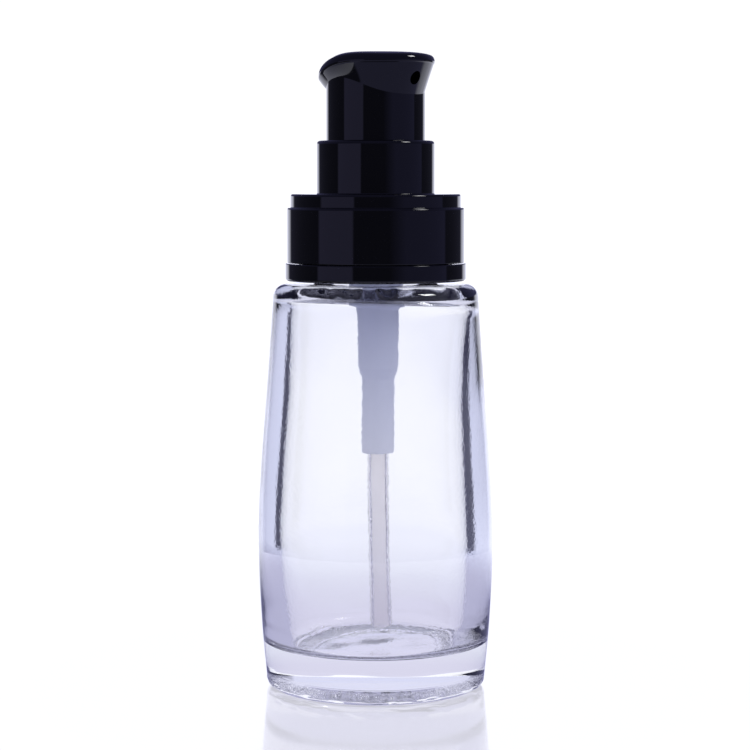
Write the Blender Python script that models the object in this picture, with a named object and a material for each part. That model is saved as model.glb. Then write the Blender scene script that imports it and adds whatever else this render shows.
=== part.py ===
"""Foundation bottle: a round glass bottle with a screw-on treatment pump.

Frame: the origin is the centre of the bottle's base, +Z runs up the bottle and the nozzle points
along +X.  Outlines are pairs of radius and height in millimetres; meshes are made in metres.
"""
import math

import bmesh
import bpy
from mathutils import Matrix, Vector

MM = 0.001

# ---------------------------------------------------------------- driving dimensions, millimetres
SIDES = 40                # sides of the large round pieces
SMALL_SIDES = 24          # sides of the pump inner pieces

BOTTLE_WIDEST = 17.35     # radius, low on the body
BOTTLE_TOP = 15.06        # radius just under the shoulder
SHOULDER_Z = 59.5         # flat shoulder around the neck
NECK_TOP_Z = 69.0
NECK_R = 8.71             # 20-400 neck finish
NECK_BORE_R = 6.3
THREAD_R = 9.78           # crest of the neck's thread
THREAD_PITCH = 3.175
THREAD_START_Z = 62.9
SHOULDER_CURVE = 1.9      # radius of the shoulder's outer edge
CEILING_Z = 58.1          # inside of the shoulder
FLOOR_Z = 6.2             # inside floor, over the thick base
PUSH_UP = 0.8             # hollow under the base
HEEL_R = 1.5              # radius of the outer edge of the base

SKIRT_INNER_R = 9.95      # inside of the screw closure
CLOSURE_THREAD_R = 9.0    # crest of its thread
FLANGE_R = 13.24          # closure's foot, under the shell
FLANGE_Z = 60.0
SHELL_Z = 62.65
SHELL_R = 12.98
SHELL_STEP_Z = 70.65
SHELL_STEP_R = 12.48
SHELL_TOP_Z = 72.65
SLEEVE_R = 8.61
SLEEVE_BORE_R = 7.75
SLEEVE_TOP_Z = 80.4

BORE_R = 3.3              # pump cylinder
TUBE_R = 1.58             # dip tube
TUBE_BORE_R = 1.1
TUBE_END_Z = 8.3
TUBE_LEAN = 0.5           # sideways drift of the tube's free end
SOCKET_Z = 34.6           # lower end of the housing
SPRING_SEAT_Z = 49.5
SPRING_TOP_Z = 63.15
SPRING_R = 1.85           # radius of the coil's centre line
SPRING_WIRE_R = 0.25
SPRING_TURNS = 9
ROD_FOOT_Z = 64.6
SLOT_WIDTH = 0.6          # slots across the rod's foot
SLOT_DEPTH = 0.7
BALL_R = 1.25
BALL_Z = 47.53

BUTTON_R = 7.21           # actuator's cylinder
BUTTON_SKIRT_Z = 77.0
ORIFICE_Z = 89.3
ORIFICE_R = 0.95
BUTTON_WALL_R = 6.35      # inside of its wall
# The actuator's head at 0, 45, 90, 135 and 180 degrees from the nozzle, the same on both sides.
FLARE_START_Z = (87.0, 87.7, 89.4, 88.2, 87.6)
RIM_Z = (91.85, 91.75, 91.5, 90.1, 89.2)     # the rim's widest line
RIM_R = (9.0, 8.4, 8.25, 8.2, 8.3)
LIP = ((0.03, 0.3), (-0.1, 0.65), (-0.35, 0.92), (-0.7, 1.05))   # out and up from that line
CROWN_Z = 93.3            # top of the head on the axis
CROWN_POWER = 5           # how late the crown turns down towards the rim


# ---------------------------------------------------------------- small tools
def clear_scene():
    for item in list(bpy.data.objects):
        bpy.data.objects.remove(item, do_unlink=True)


def finish(name, colour, roughness, metallic=0.0, transmission=0.0, ior=1.46):
    """One Principled material."""
    material = bpy.data.materials.new(name)
    material.use_nodes = True
    shader = material.node_tree.nodes["Principled BSDF"]
    shader.inputs["Base Color"].default_value = (*colour, 1.0)
    shader.inputs["Roughness"].default_value = roughness
    shader.inputs["Metallic"].default_value = metallic
    shader.inputs["Transmission Weight"].default_value = transmission
    shader.inputs["IOR"].default_value = ior
    return material


def arc(centre_r, centre_z, radius, start, end, steps):
    """Points on a round corner, angles in degrees from +radius towards +height."""
    points = []
    for step in range(steps + 1):
        angle = math.radians(start + (end - start) * step / steps)
        points.append((centre_r + radius * math.cos(angle), centre_z + radius * math.sin(angle)))
    return points


def smooth_curve(stations, steps):
    """A smooth curve through (radius, height) stations, with steps points in each span."""
    points = []
    last = len(stations) - 1
    for span in range(last):
        before = stations[max(span - 1, 0)]
        start = stations[span]
        end = stations[span + 1]
        after = stations[min(span + 2, last)]
        rise = end[1] - start[1]
        slope_in = (end[0] - before[0]) / (end[1] - before[1]) * rise
        slope_out = (after[0] - start[0]) / (after[1] - start[1]) * rise
        for step in range(steps):
            t = step / steps
            radius = ((2 * t**3 - 3 * t**2 + 1) * start[0] + (t**3 - 2 * t**2 + t) * slope_in
                      + (3 * t**2 - 2 * t**3) * end[0] + (t**3 - t**2) * slope_out)
            points.append((radius, start[1] + rise * t))
    points.append(stations[-1])
    return points


def around(values, angle):
    """Even, smooth function of the angle through its values at 0, 45, 90, 135 and 180 degrees."""
    count = len(values) - 1
    total = 0.0
    for order in range(count + 1):
        weight = 0.0
        for index, value in enumerate(values):
            half = 0.5 if index in (0, count) else 1.0
            weight += half * value * math.cos(math.pi * order * index / count)
        half = 0.5 if order in (0, count) else 1.0
        total += half * weight * 2.0 / count * math.cos(order * angle)
    return total


def place(mesh_name, bm, material):
    """Make the object of a finished bmesh in millimetres, with its faces out and shaded smooth."""
    bmesh.ops.recalc_face_normals(bm, faces=bm.faces)
    bmesh.ops.scale(bm, vec=(MM, MM, MM), verts=bm.verts)
    mesh = bpy.data.meshes.new(mesh_name)
    bm.to_mesh(mesh)
    bm.free()
    mesh.shade_smooth()
    mesh.set_sharp_from_angle(angle=math.radians(35))
    item = bpy.data.objects.new(mesh_name, mesh)
    item.data.materials.append(material)
    bpy.context.scene.collection.objects.link(item)
    return item


def skin_rings(bm, rings, closed):
    """Bridge rings of vertices; a ring of one vertex is a pole on the axis."""
    pairs = list(zip(rings, rings[1:]))
    if closed:
        pairs.append((rings[-1], rings[0]))
    for low, high in pairs:
        count = max(len(low), len(high))
        for side in range(count):
            after = (side + 1) % count
            if len(low) == 1:
                bm.faces.new((low[0], high[after], high[side]))
            elif len(high) == 1:
                bm.faces.new((low[side], low[after], high[0]))
            else:
                bm.faces.new((low[side], low[after], high[after], high[side]))


def ring_of(bm, sides, radius_of, height_of):
    """One ring about Z from two functions of the angle."""
    ring = []
    for side in range(sides):
        angle = 2.0 * math.pi * side / sides
        radius = radius_of(angle)
        ring.append(bm.verts.new((radius * math.cos(angle), radius * math.sin(angle), height_of(angle))))
    return ring


def level_ring(bm, sides, radius, height):
    """A round, level ring, or a pole on the axis."""
    if radius == 0.0:
        return [bm.verts.new((0.0, 0.0, height))]
    return ring_of(bm, sides, lambda angle: radius, lambda angle: height)


def turned(name, outline, material, sides=SIDES, drift=None):
    """Turn an outline about Z.  It is a loop, or runs from the axis to the axis.

    drift(z) moves the ring at height z sideways, as a vector in millimetres.
    """
    bm = bmesh.new()
    rings = []
    for radius, height in outline:
        ring = level_ring(bm, sides, radius, height)
        if drift:
            bmesh.ops.translate(bm, vec=drift(height), verts=ring)
        rings.append(ring)
    on_axis = outline[0][0] == 0.0
    skin_rings(bm, rings, closed=not on_axis)
    return place(name, bm, material)


def swept(name, centres, frames, section, material):
    """Sweep a closed section along centres; frames gives two unit vectors at each centre."""
    bm = bmesh.new()
    rings = []
    for centre, (across, up), points in zip(centres, frames, section):
        rings.append([bm.verts.new(centre + across * a + up * b) for a, b in points])
    skin_rings(bm, rings, closed=False)
    bm.faces.new(rings[0])
    bm.faces.new(list(reversed(rings[-1])))
    return place(name, bm, material)


def tool_of(item):
    """Hide an object that only serves as a Boolean operand."""
    item.hide_render = True
    item.display_type = 'WIRE'
    return item


def boolean(target, tool, operation):
    step = target.modifiers.new(operation.lower(), 'BOOLEAN')
    step.operation = operation
    step.solver = 'EXACT'
    step.object = tool_of(tool)


def block(name, low, high, material):
    """A box between two corners, used as a Boolean operand."""
    bm = bmesh.new()
    size = Vector(high) - Vector(low)
    middle = (Vector(high) + Vector(low)) / 2.0
    bmesh.ops.create_cube(bm, size=1.0)
    bmesh.ops.scale(bm, vec=size, verts=bm.verts)
    bmesh.ops.translate(bm, vec=middle, verts=bm.verts)
    return place(name, bm, material)


def bar_along_x(name, start_x, end_x, height, radius, material, sides=24):
    """A round bar along X, used as a Boolean operand."""
    bm = bmesh.new()
    middle = Matrix.Translation(((start_x + end_x) / 2.0, 0.0, height))
    turn = middle @ Matrix.Rotation(math.pi / 2.0, 4, 'Y')
    bmesh.ops.create_cone(bm, cap_ends=True, segments=sides, radius1=radius, radius2=radius,
                          depth=end_x - start_x, matrix=turn)
    return place(name, bm, material)


def thread(name, root_r, crest_r, root_width, crest_width, start_turn, end_turn, phase_z, material):
    """A right-hand helical thread; its ends run out into the wall over a sixth of a turn."""
    steps = int((end_turn - start_turn) * SIDES)
    run_out = SIDES // 6
    buried = 0.3 if crest_r > root_r else -0.3
    centres = []
    frames = []
    sections = []
    for step in range(steps + 1):
        turn = start_turn + step / SIDES
        angle = 2.0 * math.pi * turn
        across = Vector((math.cos(angle), math.sin(angle), 0.0))
        up = Vector((0.0, 0.0, 1.0))
        full = min(1.0, (min(step, steps - step) + 0.5) / run_out)
        crest = root_r + (crest_r - root_r) * full
        shoulder = root_width + (crest_width - root_width) * full
        centres.append(up * (phase_z + THREAD_PITCH * turn))
        frames.append((across, up))
        sections.append([(root_r - buried, -root_width / 2), (crest, -shoulder / 2),
                         (crest, shoulder / 2), (root_r - buried, root_width / 2)])
    return swept(name, centres, frames, sections, material)


# ---------------------------------------------------------------- the bottle
def make_bottle(material):
    edge_z = SHOULDER_Z - SHOULDER_CURVE
    side = smooth_curve([(16.15, HEEL_R), (16.88, 10.0), (BOTTLE_WIDEST, 22.5), (16.83, 34.0),
                         (15.87, 46.0), (BOTTLE_TOP, edge_z)], 2)
    inside = smooth_curve([(12.95, 56.6), (13.05, 46.8), (13.35, 37.9), (14.0, 29.0), (14.1, 20.2),
                           (12.8, 9.4)], 2)
    outline = [(0.0, PUSH_UP), (8.0, PUSH_UP - 0.2), (13.3, 0.25), (13.7, 0.0)]
    outline += arc(14.65, HEEL_R, HEEL_R, -90, 0, 4)[:-1]
    outline += side[:-1]
    outline += arc(BOTTLE_TOP - SHOULDER_CURVE, edge_z, SHOULDER_CURVE, 0, 90, 4)
    outline += [(9.2, SHOULDER_Z), (NECK_R, SHOULDER_Z + 0.5), (NECK_R, NECK_TOP_Z - 0.4)]
    outline += [(NECK_R - 0.4, NECK_TOP_Z), (NECK_BORE_R + 0.4, NECK_TOP_Z)]
    outline += [(NECK_BORE_R, NECK_TOP_Z - 0.4), (NECK_BORE_R, CEILING_Z + 1.2)]
    outline += arc(NECK_BORE_R + 1.2, CEILING_Z + 1.2, 1.2, 180, 270, 2)[1:]
    outline += arc(11.45, CEILING_Z - 1.5, 1.5, 90, 0, 3)[:-1]
    outline += inside[:-1]
    outline += arc(9.6, FLOOR_Z + 3.2, 3.2, 0, -90, 3)
    outline += [(0.0, FLOOR_Z)]
    bottle = turned("glass_bottle", outline, material)
    neck_thread = thread("neck_thread", NECK_R, THREAD_R, 1.9, 1.0, 0.0, 1.25, THREAD_START_Z, material)
    boolean(bottle, neck_thread, 'UNION')


# ---------------------------------------------------------------- closure, shell and seal
def make_closure(material):
    top = 71.5
    outline = [(SKIRT_INNER_R, FLANGE_Z), (FLANGE_R - 0.2, FLANGE_Z), (FLANGE_R, FLANGE_Z + 0.2),
               (FLANGE_R, 62.35), (FLANGE_R - 0.2, 62.55), (11.2, 62.55), (11.2, top - 0.2),
               (11.0, top), (5.2, top), (5.2, top - 0.5), (SKIRT_INNER_R, top - 0.5)]
    closure = turned("threaded_closure", outline, material)
    inner_thread = thread("closure_thread", SKIRT_INNER_R, CLOSURE_THREAD_R, 1.5, 0.7, -0.25, 0.75,
                          THREAD_START_Z + THREAD_PITCH / 2.0, material)
    boolean(closure, inner_thread, 'UNION')


def make_shell(material):
    inner = 11.35
    ceiling = 71.6
    outline = [(inner, SHELL_Z), (SHELL_R - 0.15, SHELL_Z), (SHELL_R, SHELL_Z + 0.15)]
    outline += arc(SHELL_R - 0.2, SHELL_STEP_Z - 0.2, 0.2, 0, 90, 2)
    outline += [(SHELL_STEP_R, SHELL_STEP_Z)]
    outline += arc(SHELL_STEP_R - 0.3, SHELL_TOP_Z - 0.3, 0.3, 0, 90, 2)
    outline += [(SLEEVE_R, SHELL_TOP_Z)]
    outline += arc(SLEEVE_R - 0.5, SLEEVE_TOP_Z - 0.5, 0.5, 0, 90, 3)
    outline += [(SLEEVE_BORE_R + 0.15, SLEEVE_TOP_Z), (SLEEVE_BORE_R, SLEEVE_TOP_Z - 0.15),
                (SLEEVE_BORE_R, ceiling), (inner, ceiling)]
    turned("collar_shell", outline, material)


def make_gasket(material):
    outline = [(6.45, 69.1), (8.55, 69.1), (8.55, 70.0), (6.45, 70.0)]
    turned("neck_gasket", outline, material)


# ---------------------------------------------------------------- the pump
def make_housing(material):
    outside = [(1.63, SOCKET_Z), (2.21, SOCKET_Z), (2.41, SOCKET_Z + 0.2), (2.41, 45.3), (2.97, 46.9),
               (3.05, 55.6), (4.08, 57.0), (4.12, 66.4), (5.85, 68.2), (5.85, 70.1), (8.3, 70.1),
               (8.3, 70.9)]
    inside = [(4.9, 70.9), (4.9, 68.3), (BORE_R, 68.3), (BORE_R, 57.7), (2.3, 56.7),
              (2.3, SPRING_SEAT_Z), (1.05, SPRING_SEAT_Z), (1.05, 49.1), (1.6, 48.75), (1.6, 47.5),
              (0.9, 46.6), (0.9, 45.4), (1.63, 45.4)]
    turned("pump_housing", outside + inside, material, SMALL_SIDES)


def make_guide(material):
    outline = [(3.35, 68.4), (4.85, 68.4), (4.85, 71.2), (4.65, 71.4), (3.0, 71.4), (3.0, 73.0),
               (2.8, 73.2), (1.9, 73.2), (1.9, 70.0), (3.35, 70.0)]
    turned("stem_guide", outline, material, SMALL_SIDES)


def make_rod(material):
    outline = [(0.9, ROD_FOOT_Z), (1.75, ROD_FOOT_Z), (1.75, 68.2), (2.3, 68.2), (2.3, 69.9),
               (1.75, 69.9), (1.75, 86.0), (0.9, 86.0)]
    rod = turned("piston_rod", outline, material, SMALL_SIDES)
    length = 6.0
    for size_x, size_y in ((length, SLOT_WIDTH), (SLOT_WIDTH, length)):
        low = (-size_x / 2.0, -size_y / 2.0, ROD_FOOT_Z - 1.0)
        high = (size_x / 2.0, size_y / 2.0, ROD_FOOT_Z + SLOT_DEPTH)
        boolean(rod, block("inlet_slot", low, high, material), 'DIFFERENCE')


def make_valve_pin(material):
    outline = [(0.0, 57.0), (1.0, 57.0), (1.3, 57.4), (1.3, 63.2), (2.6, 63.2), (2.6, 64.2),
               (2.3, 64.5), (0.0, 64.5)]
    pin = turned("valve_pin", outline, material, SMALL_SIDES)
    blade = block("pin_blade", (-0.25, -0.8, 64.0), (0.25, 0.8, 67.5), material)
    boolean(pin, blade, 'UNION')


def make_piston(material):
    outline = [(1.87, 64.62), (2.25, 64.62), (2.4, 66.0), (2.85, 66.0), (3.05, 65.0), (3.24, 65.0),
               (3.12, 66.6), (3.24, 68.2), (3.05, 68.2), (2.85, 67.2), (2.4, 67.2), (2.25, 67.45),
               (1.87, 67.45)]
    turned("piston_seal", outline, material, SMALL_SIDES)


def make_spring(material):
    """A helix whose first and last turns lie close."""
    steps_per_turn = 12
    low = SPRING_SEAT_Z + SPRING_WIRE_R + 0.05
    high = SPRING_TOP_Z - SPRING_WIRE_R
    end_pitch = 2.1 * SPRING_WIRE_R
    pitch = (high - low - 2.0 * end_pitch) / (SPRING_TURNS - 2)
    centres = []
    frames = []
    sections = []
    for step in range(SPRING_TURNS * steps_per_turn + 1):
        turn = step / steps_per_turn
        first = min(turn, 1.0)
        middle = min(max(turn - 1.0, 0.0), SPRING_TURNS - 2.0)
        final = max(turn - SPRING_TURNS + 1.0, 0.0)
        angle = 2.0 * math.pi * turn
        across = Vector((math.cos(angle), math.sin(angle), 0.0))
        height = low + end_pitch * (first + final) + pitch * middle
        centres.append(across * SPRING_R + Vector((0.0, 0.0, height)))
        frames.append((across, Vector((0.0, 0.0, 1.0))))
        sections.append(arc(0.0, 0.0, SPRING_WIRE_R, 0, 300, 5))
    swept("return_spring", centres, frames, sections, material)


def make_ball(material):
    outline = [(0.0, BALL_Z - BALL_R)] + arc(0.0, BALL_Z, BALL_R, -75, 75, 10) + [(0.0, BALL_Z + BALL_R)]
    turned("intake_ball", outline, material, 24)


def make_tube(material):
    top = 45.3

    def drift(height):
        below = max(0.0, SOCKET_Z - height) / (SOCKET_Z - TUBE_END_Z)
        sideways = TUBE_LEAN * below**2 / math.sqrt(2.0)
        return Vector((sideways, sideways, 0.0))

    spans = 6
    heights = [SOCKET_Z + (TUBE_END_Z - SOCKET_Z) * step / spans for step in range(spans + 1)]
    outside = [(TUBE_R, top)] + [(TUBE_R, height) for height in heights]
    inside = [(TUBE_BORE_R, height) for height in reversed(heights)] + [(TUBE_BORE_R, top)]
    turned("dip_tube", outside + inside, material, SMALL_SIDES, drift)


# ---------------------------------------------------------------- the actuator
def head_rings(bm):
    """Rings from the skirt's foot, up the flare and round the rim, to the middle of the crown."""
    rings = [level_ring(bm, SIDES, BUTTON_R, BUTTON_SKIRT_Z)]
    flare_steps = 4
    for step in range(flare_steps + 1):
        share = step / flare_steps

        def flare_r(angle, share=share):
            return BUTTON_R + (around(RIM_R, angle) - BUTTON_R) * share**1.05

        def flare_z(angle, share=share):
            start = around(FLARE_START_Z, angle)
            return start + (around(RIM_Z, angle) - start) * share

        rings.append(ring_of(bm, SIDES, flare_r, flare_z))
    for out, lift in LIP:
        rings.append(ring_of(bm, SIDES, lambda angle, out=out: around(RIM_R, angle) + out,
                             lambda angle, lift=lift: around(RIM_Z, angle) + lift))
    edge_out, edge_lift = LIP[-1]
    for share in (0.85, 0.66, 0.4):
        def crown_r(angle, share=share):
            return (around(RIM_R, angle) + edge_out) * share

        def crown_z(angle, share=share):
            edge = around(RIM_Z, angle) + edge_lift
            return CROWN_Z + (edge - CROWN_Z) * share**CROWN_POWER

        rings.append(ring_of(bm, SIDES, crown_r, crown_z))
    rings.append(level_ring(bm, SIDES, 0.0, CROWN_Z))
    return rings


def make_actuator_shell(material):
    """The pressed button: a hollow cylinder under a flared head, open at the bottom."""
    bm = bmesh.new()
    roof_z = 91.5
    hollow = ((0.0, roof_z), (BUTTON_WALL_R - 0.75, roof_z), (BUTTON_WALL_R, roof_z - 0.6),
              (BUTTON_WALL_R, BUTTON_SKIRT_Z))
    inner = [level_ring(bm, SIDES, radius, height) for radius, height in hollow]
    skin_rings(bm, inner + head_rings(bm), closed=False)
    shell = place("actuator_shell", bm, material)
    boolean(shell, bar_along_x("orifice", 4.0, 12.0, ORIFICE_Z, ORIFICE_R, material), 'DIFFERENCE')


def make_nozzle_core(material):
    """The socket that sits on the rod, with the arm that carries the liquid to the orifice."""
    outline = [(0.0, 90.2), (0.9, 90.2), (0.9, 86.1), (1.8, 86.1), (1.8, 79.0), (2.7, 79.0), (2.9, 79.2),
               (2.9, 83.0), (6.25, 83.0), (6.25, 84.0), (2.9, 84.0), (2.9, 90.8), (2.6, 91.1), (0.0, 91.1)]
    core = turned("nozzle_core", outline, material, SMALL_SIDES)
    boolean(core, bar_along_x("core_arm", 1.5, 5.9, ORIFICE_Z, 1.5, material), 'UNION')
    boolean(core, bar_along_x("core_duct", 0.0, 8.0, ORIFICE_Z, ORIFICE_R, material), 'DIFFERENCE')


def main():
    clear_scene()
    glass = finish("glass", (0.93, 0.93, 0.97), 0.02, transmission=1.0, ior=1.5)
    black = finish("black_plastic", (0.012, 0.012, 0.016), 0.08)
    white = finish("white_plastic", (0.85, 0.86, 0.88), 0.35)
    seal = finish("seal", (0.8, 0.8, 0.78), 0.5)
    tube = finish("clear_plastic", (0.85, 0.86, 0.9), 0.2, transmission=0.6)
    steel = finish("steel", (0.6, 0.6, 0.62), 0.25, metallic=1.0)
    make_bottle(glass)
    make_closure(black)
    make_shell(black)
    make_gasket(seal)
    make_housing(white)
    make_guide(white)
    make_rod(white)
    make_valve_pin(white)
    make_piston(seal)
    make_spring(steel)
    make_ball(steel)
    make_tube(tube)
    make_actuator_shell(black)
    make_nozzle_core(black)


main()
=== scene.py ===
"""Looks of the foundation bottle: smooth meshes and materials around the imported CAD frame.

Outlines are pairs of radius and height in millimetres, as in the part's own source.
"""
import math

import bmesh
import bpy
from mathutils import Matrix, Vector, noise


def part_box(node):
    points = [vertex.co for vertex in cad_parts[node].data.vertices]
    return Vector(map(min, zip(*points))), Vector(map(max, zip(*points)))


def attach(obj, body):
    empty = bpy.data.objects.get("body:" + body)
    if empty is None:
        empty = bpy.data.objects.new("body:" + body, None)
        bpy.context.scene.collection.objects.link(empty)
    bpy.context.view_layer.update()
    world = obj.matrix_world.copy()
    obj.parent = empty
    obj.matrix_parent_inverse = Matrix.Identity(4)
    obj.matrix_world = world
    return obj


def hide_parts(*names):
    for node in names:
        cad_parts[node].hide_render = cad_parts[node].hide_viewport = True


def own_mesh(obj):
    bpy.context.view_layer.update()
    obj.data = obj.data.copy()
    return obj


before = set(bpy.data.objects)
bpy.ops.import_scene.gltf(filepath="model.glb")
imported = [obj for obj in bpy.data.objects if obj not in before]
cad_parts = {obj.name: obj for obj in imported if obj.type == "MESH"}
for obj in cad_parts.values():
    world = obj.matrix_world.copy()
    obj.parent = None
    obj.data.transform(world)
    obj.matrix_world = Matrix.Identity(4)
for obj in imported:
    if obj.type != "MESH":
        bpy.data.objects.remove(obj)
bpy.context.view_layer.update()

MM = 0.001
SIDES = 192               # sides of the large round pieces
PUMP_SIDES = 96           # sides of the pump's inner pieces

# ---------------------------------------------------------------- sizes from the frame, millimetres
GLASS_HIGH = Vector(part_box("glass_bottle")[1]) / MM
SHELL_LOW, SHELL_HIGH = [Vector(corner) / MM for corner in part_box("collar_shell")]
CLOSURE_LOW, CLOSURE_HIGH = [Vector(corner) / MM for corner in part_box("threaded_closure")]
HEAD_LOW = Vector(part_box("actuator_shell")[0]) / MM
TUBE_LOW, TUBE_HIGH = [Vector(corner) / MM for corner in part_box("dip_tube")]
HOUSING_LOW, HOUSING_HIGH = [Vector(corner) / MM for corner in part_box("pump_housing")]
SPRING_LOW, SPRING_HIGH = [Vector(corner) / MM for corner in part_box("return_spring")]
BALL_LOW, BALL_HIGH = [Vector(corner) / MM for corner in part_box("intake_ball")]
ROD_LOW, ROD_HIGH = [Vector(corner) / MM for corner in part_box("piston_rod")]

BOTTLE_WIDEST = GLASS_HIGH.x
NECK_TOP_Z = GLASS_HIGH.z
SHOULDER_Z = NECK_TOP_Z - 9.5
BOTTLE_TOP = 15.06
NECK_R = 8.71
NECK_BORE_R = 6.3
THREAD_R = 9.78
THREAD_PITCH = 3.175
THREAD_START_Z = SHOULDER_Z + 3.4
FLOOR_Z = 6.2
SHOULDER_CURVE = 1.9
CEILING_Z = SHOULDER_Z - 1.4
PUSH_UP = 1.7             # hollow under the base
PUSH_UP_R = 13.5
HEEL_Z = 1.4              # height of the uneven band round the heel
HEEL_R = 14.6

WALL = 3.2                # glass thickness at the front of the wall
WALL_THINNING = 0.8       # how much less it is at the shoulder
EVEN_TO_Z = 38.0          # up to where it is even
WALL_TOP_Z = 56.6
WALL_STEP = 4.0           # between the heights at which the wall is worked out
WALL_STEPS = 10
WEDGE = 0.75              # how far the blown inside is pushed to one side
UNEVEN_TOP_Z = 57.8       # the inside is round from here up
CEILING_EDGE_Z = 57.9     # from here up the inside is the ceiling, with its rings

SKIRT_INNER_R = 9.95
CLOSURE_THREAD_R = 9.0
FLANGE_R = CLOSURE_HIGH.x
FLANGE_Z = CLOSURE_LOW.z
SHELL_R = SHELL_HIGH.x
SHELL_Z = SHELL_LOW.z
SHELL_STEP_Z = SHELL_Z + 8.0
SHELL_STEP_R = SHELL_R - 0.5
SHELL_TOP_Z = SHELL_Z + 10.0
SLEEVE_R = 8.61
SLEEVE_BORE_R = 7.75
SLEEVE_TOP_Z = SHELL_HIGH.z

BUTTON_R = 7.21
BUTTON_SKIRT_Z = HEAD_LOW.z
ORIFICE_Z = 89.3
ORIFICE_R = 0.95
# The head at 0, 45, 90, 135 and 180 degrees from the nozzle, the same on both sides.
FLARE_START_Z = (87.0, 87.7, 89.4, 88.2, 87.6)
RIM_Z = (91.5, 91.4, 91.0, 89.2, 88.7)      # the rim's widest line
RIM_R = (9.0, 8.4, 8.25, 8.2, 8.3)
LIP_OUT = -0.7            # where the rim meets the crown, from its widest line
LIP_LIFT = 1.35
CROWN_Z = 93.15
CROWN_POWER = 5

CAMERA_TURN = math.radians(45.0)   # from straight in front towards +X
TOWARDS_CAMERA = Vector((math.sin(CAMERA_TURN), -math.cos(CAMERA_TURN), 0.0))
CAMERA_RIGHT = Vector((math.cos(CAMERA_TURN), math.sin(CAMERA_TURN), 0.0))
THICK_SIDE = math.atan2(CAMERA_RIGHT.y, CAMERA_RIGHT.x)


# ---------------------------------------------------------------- outlines
def arc(centre_r, centre_z, radius, start, end, steps):
    """Points on a round corner, angles in degrees from +radius towards +height."""
    points = []
    for step in range(steps + 1):
        angle = math.radians(start + (end - start) * step / steps)
        points.append((centre_r + radius * math.cos(angle), centre_z + radius * math.sin(angle)))
    return points


def smooth_curve(stations, steps):
    """A smooth curve through (value, height) stations, with steps points in each span."""
    points = []
    last = len(stations) - 1
    for span in range(last):
        before = stations[max(span - 1, 0)]
        start = stations[span]
        end = stations[span + 1]
        after = stations[min(span + 2, last)]
        rise = end[1] - start[1]
        slope_in = (end[0] - before[0]) / (end[1] - before[1]) * rise
        slope_out = (after[0] - start[0]) / (after[1] - start[1]) * rise
        for step in range(steps):
            t = step / steps
            value = ((2 * t**3 - 3 * t**2 + 1) * start[0] + (t**3 - 2 * t**2 + t) * slope_in
                     + (3 * t**2 - 2 * t**3) * end[0] + (t**3 - t**2) * slope_out)
            points.append((value, start[1] + rise * t))
    points.append(stations[-1])
    return points


def value_at(curve, height):
    """Value of a smooth_curve at a height, whichever way it runs."""
    for (first, z_first), (second, z_second) in zip(curve, curve[1:]):
        low, high = sorted((z_first, z_second))
        if low <= height <= high:
            return first + (second - first) * (height - z_first) / (z_second - z_first)
    ends = sorted((curve[0], curve[-1]), key=lambda point: abs(point[1] - height))
    return ends[0][0]


def around(values, angle):
    """Even, smooth function of the angle through its values at 0, 45, 90, 135 and 180 degrees."""
    count = len(values) - 1
    total = 0.0
    for order in range(count + 1):
        weight = 0.0
        for index, value in enumerate(values):
            half = 0.5 if index in (0, count) else 1.0
            weight += half * value * math.cos(math.pi * order * index / count)
        half = 0.5 if order in (0, count) else 1.0
        total += half * weight * 2.0 / count * math.cos(order * angle)
    return total


def rounded(outline, radius, steps=4):
    """Round every corner of an outline of straight runs; a pole on the axis stays sharp."""
    points = []
    closed = outline[0][0] != 0.0
    count = len(outline)
    for index, corner in enumerate(outline):
        if not closed and index in (0, count - 1):
            points.append(corner)
            continue
        here = Vector(corner)
        back = Vector(outline[index - 1]) - here
        ahead = Vector(outline[(index + 1) % count]) - here
        reach = min(radius, back.length * 0.45, ahead.length * 0.45)
        start = here + back.normalized() * reach
        end = here + ahead.normalized() * reach
        for step in range(steps + 1):
            t = step / steps
            spot = start * (1 - t)**2 + here * (2 * t * (1 - t)) + end * t**2
            points.append((spot.x, spot.y))
    return points


def divided(outline, longest):
    """The same outline with long straight runs divided, so that a surface can be shaped."""
    points = []
    for start, end in zip(outline, outline[1:]):
        length = math.dist(start, end)
        pieces = max(1, math.ceil(length / longest))
        for step in range(pieces):
            t = step / pieces
            points.append((start[0] + (end[0] - start[0]) * t, start[1] + (end[1] - start[1]) * t))
    points.append(outline[-1])
    return points


def held(outline):
    """The same outline with a point near each end of long straight runs, which keeps them flat."""
    points = []
    for start, end in zip(outline, outline[1:]):
        points.append(start)
        length = math.dist(start, end)
        if length > 0.5:
            for t in (0.04 / length, 1.0 - 0.04 / length):
                points.append((start[0] + (end[0] - start[0]) * t, start[1] + (end[1] - start[1]) * t))
    points.append(outline[-1])
    return points


# ---------------------------------------------------------------- meshes
def place(name, bm, sharp_angle=40.0):
    """Make the object of a finished bmesh in millimetres, with its faces out and shaded smooth."""
    bmesh.ops.recalc_face_normals(bm, faces=bm.faces)
    bmesh.ops.scale(bm, vec=(MM, MM, MM), verts=bm.verts)
    mesh = bpy.data.meshes.new(name)
    bm.to_mesh(mesh)
    bm.free()
    mesh.shade_smooth()
    mesh.set_sharp_from_angle(angle=math.radians(sharp_angle))
    item = bpy.data.objects.new(name, mesh)
    bpy.context.scene.collection.objects.link(item)
    return item


def skin_rings(bm, rings, closed):
    """Bridge rings of vertices; a ring of one vertex is a pole on the axis."""
    pairs = list(zip(rings, rings[1:]))
    if closed:
        pairs.append((rings[-1], rings[0]))
    for low, high in pairs:
        count = max(len(low), len(high))
        for side in range(count):
            after = (side + 1) % count
            if len(low) == 1:
                bm.faces.new((low[0], high[after], high[side]))
            elif len(high) == 1:
                bm.faces.new((low[side], low[after], high[0]))
            else:
                bm.faces.new((low[side], low[after], high[after], high[side]))


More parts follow.
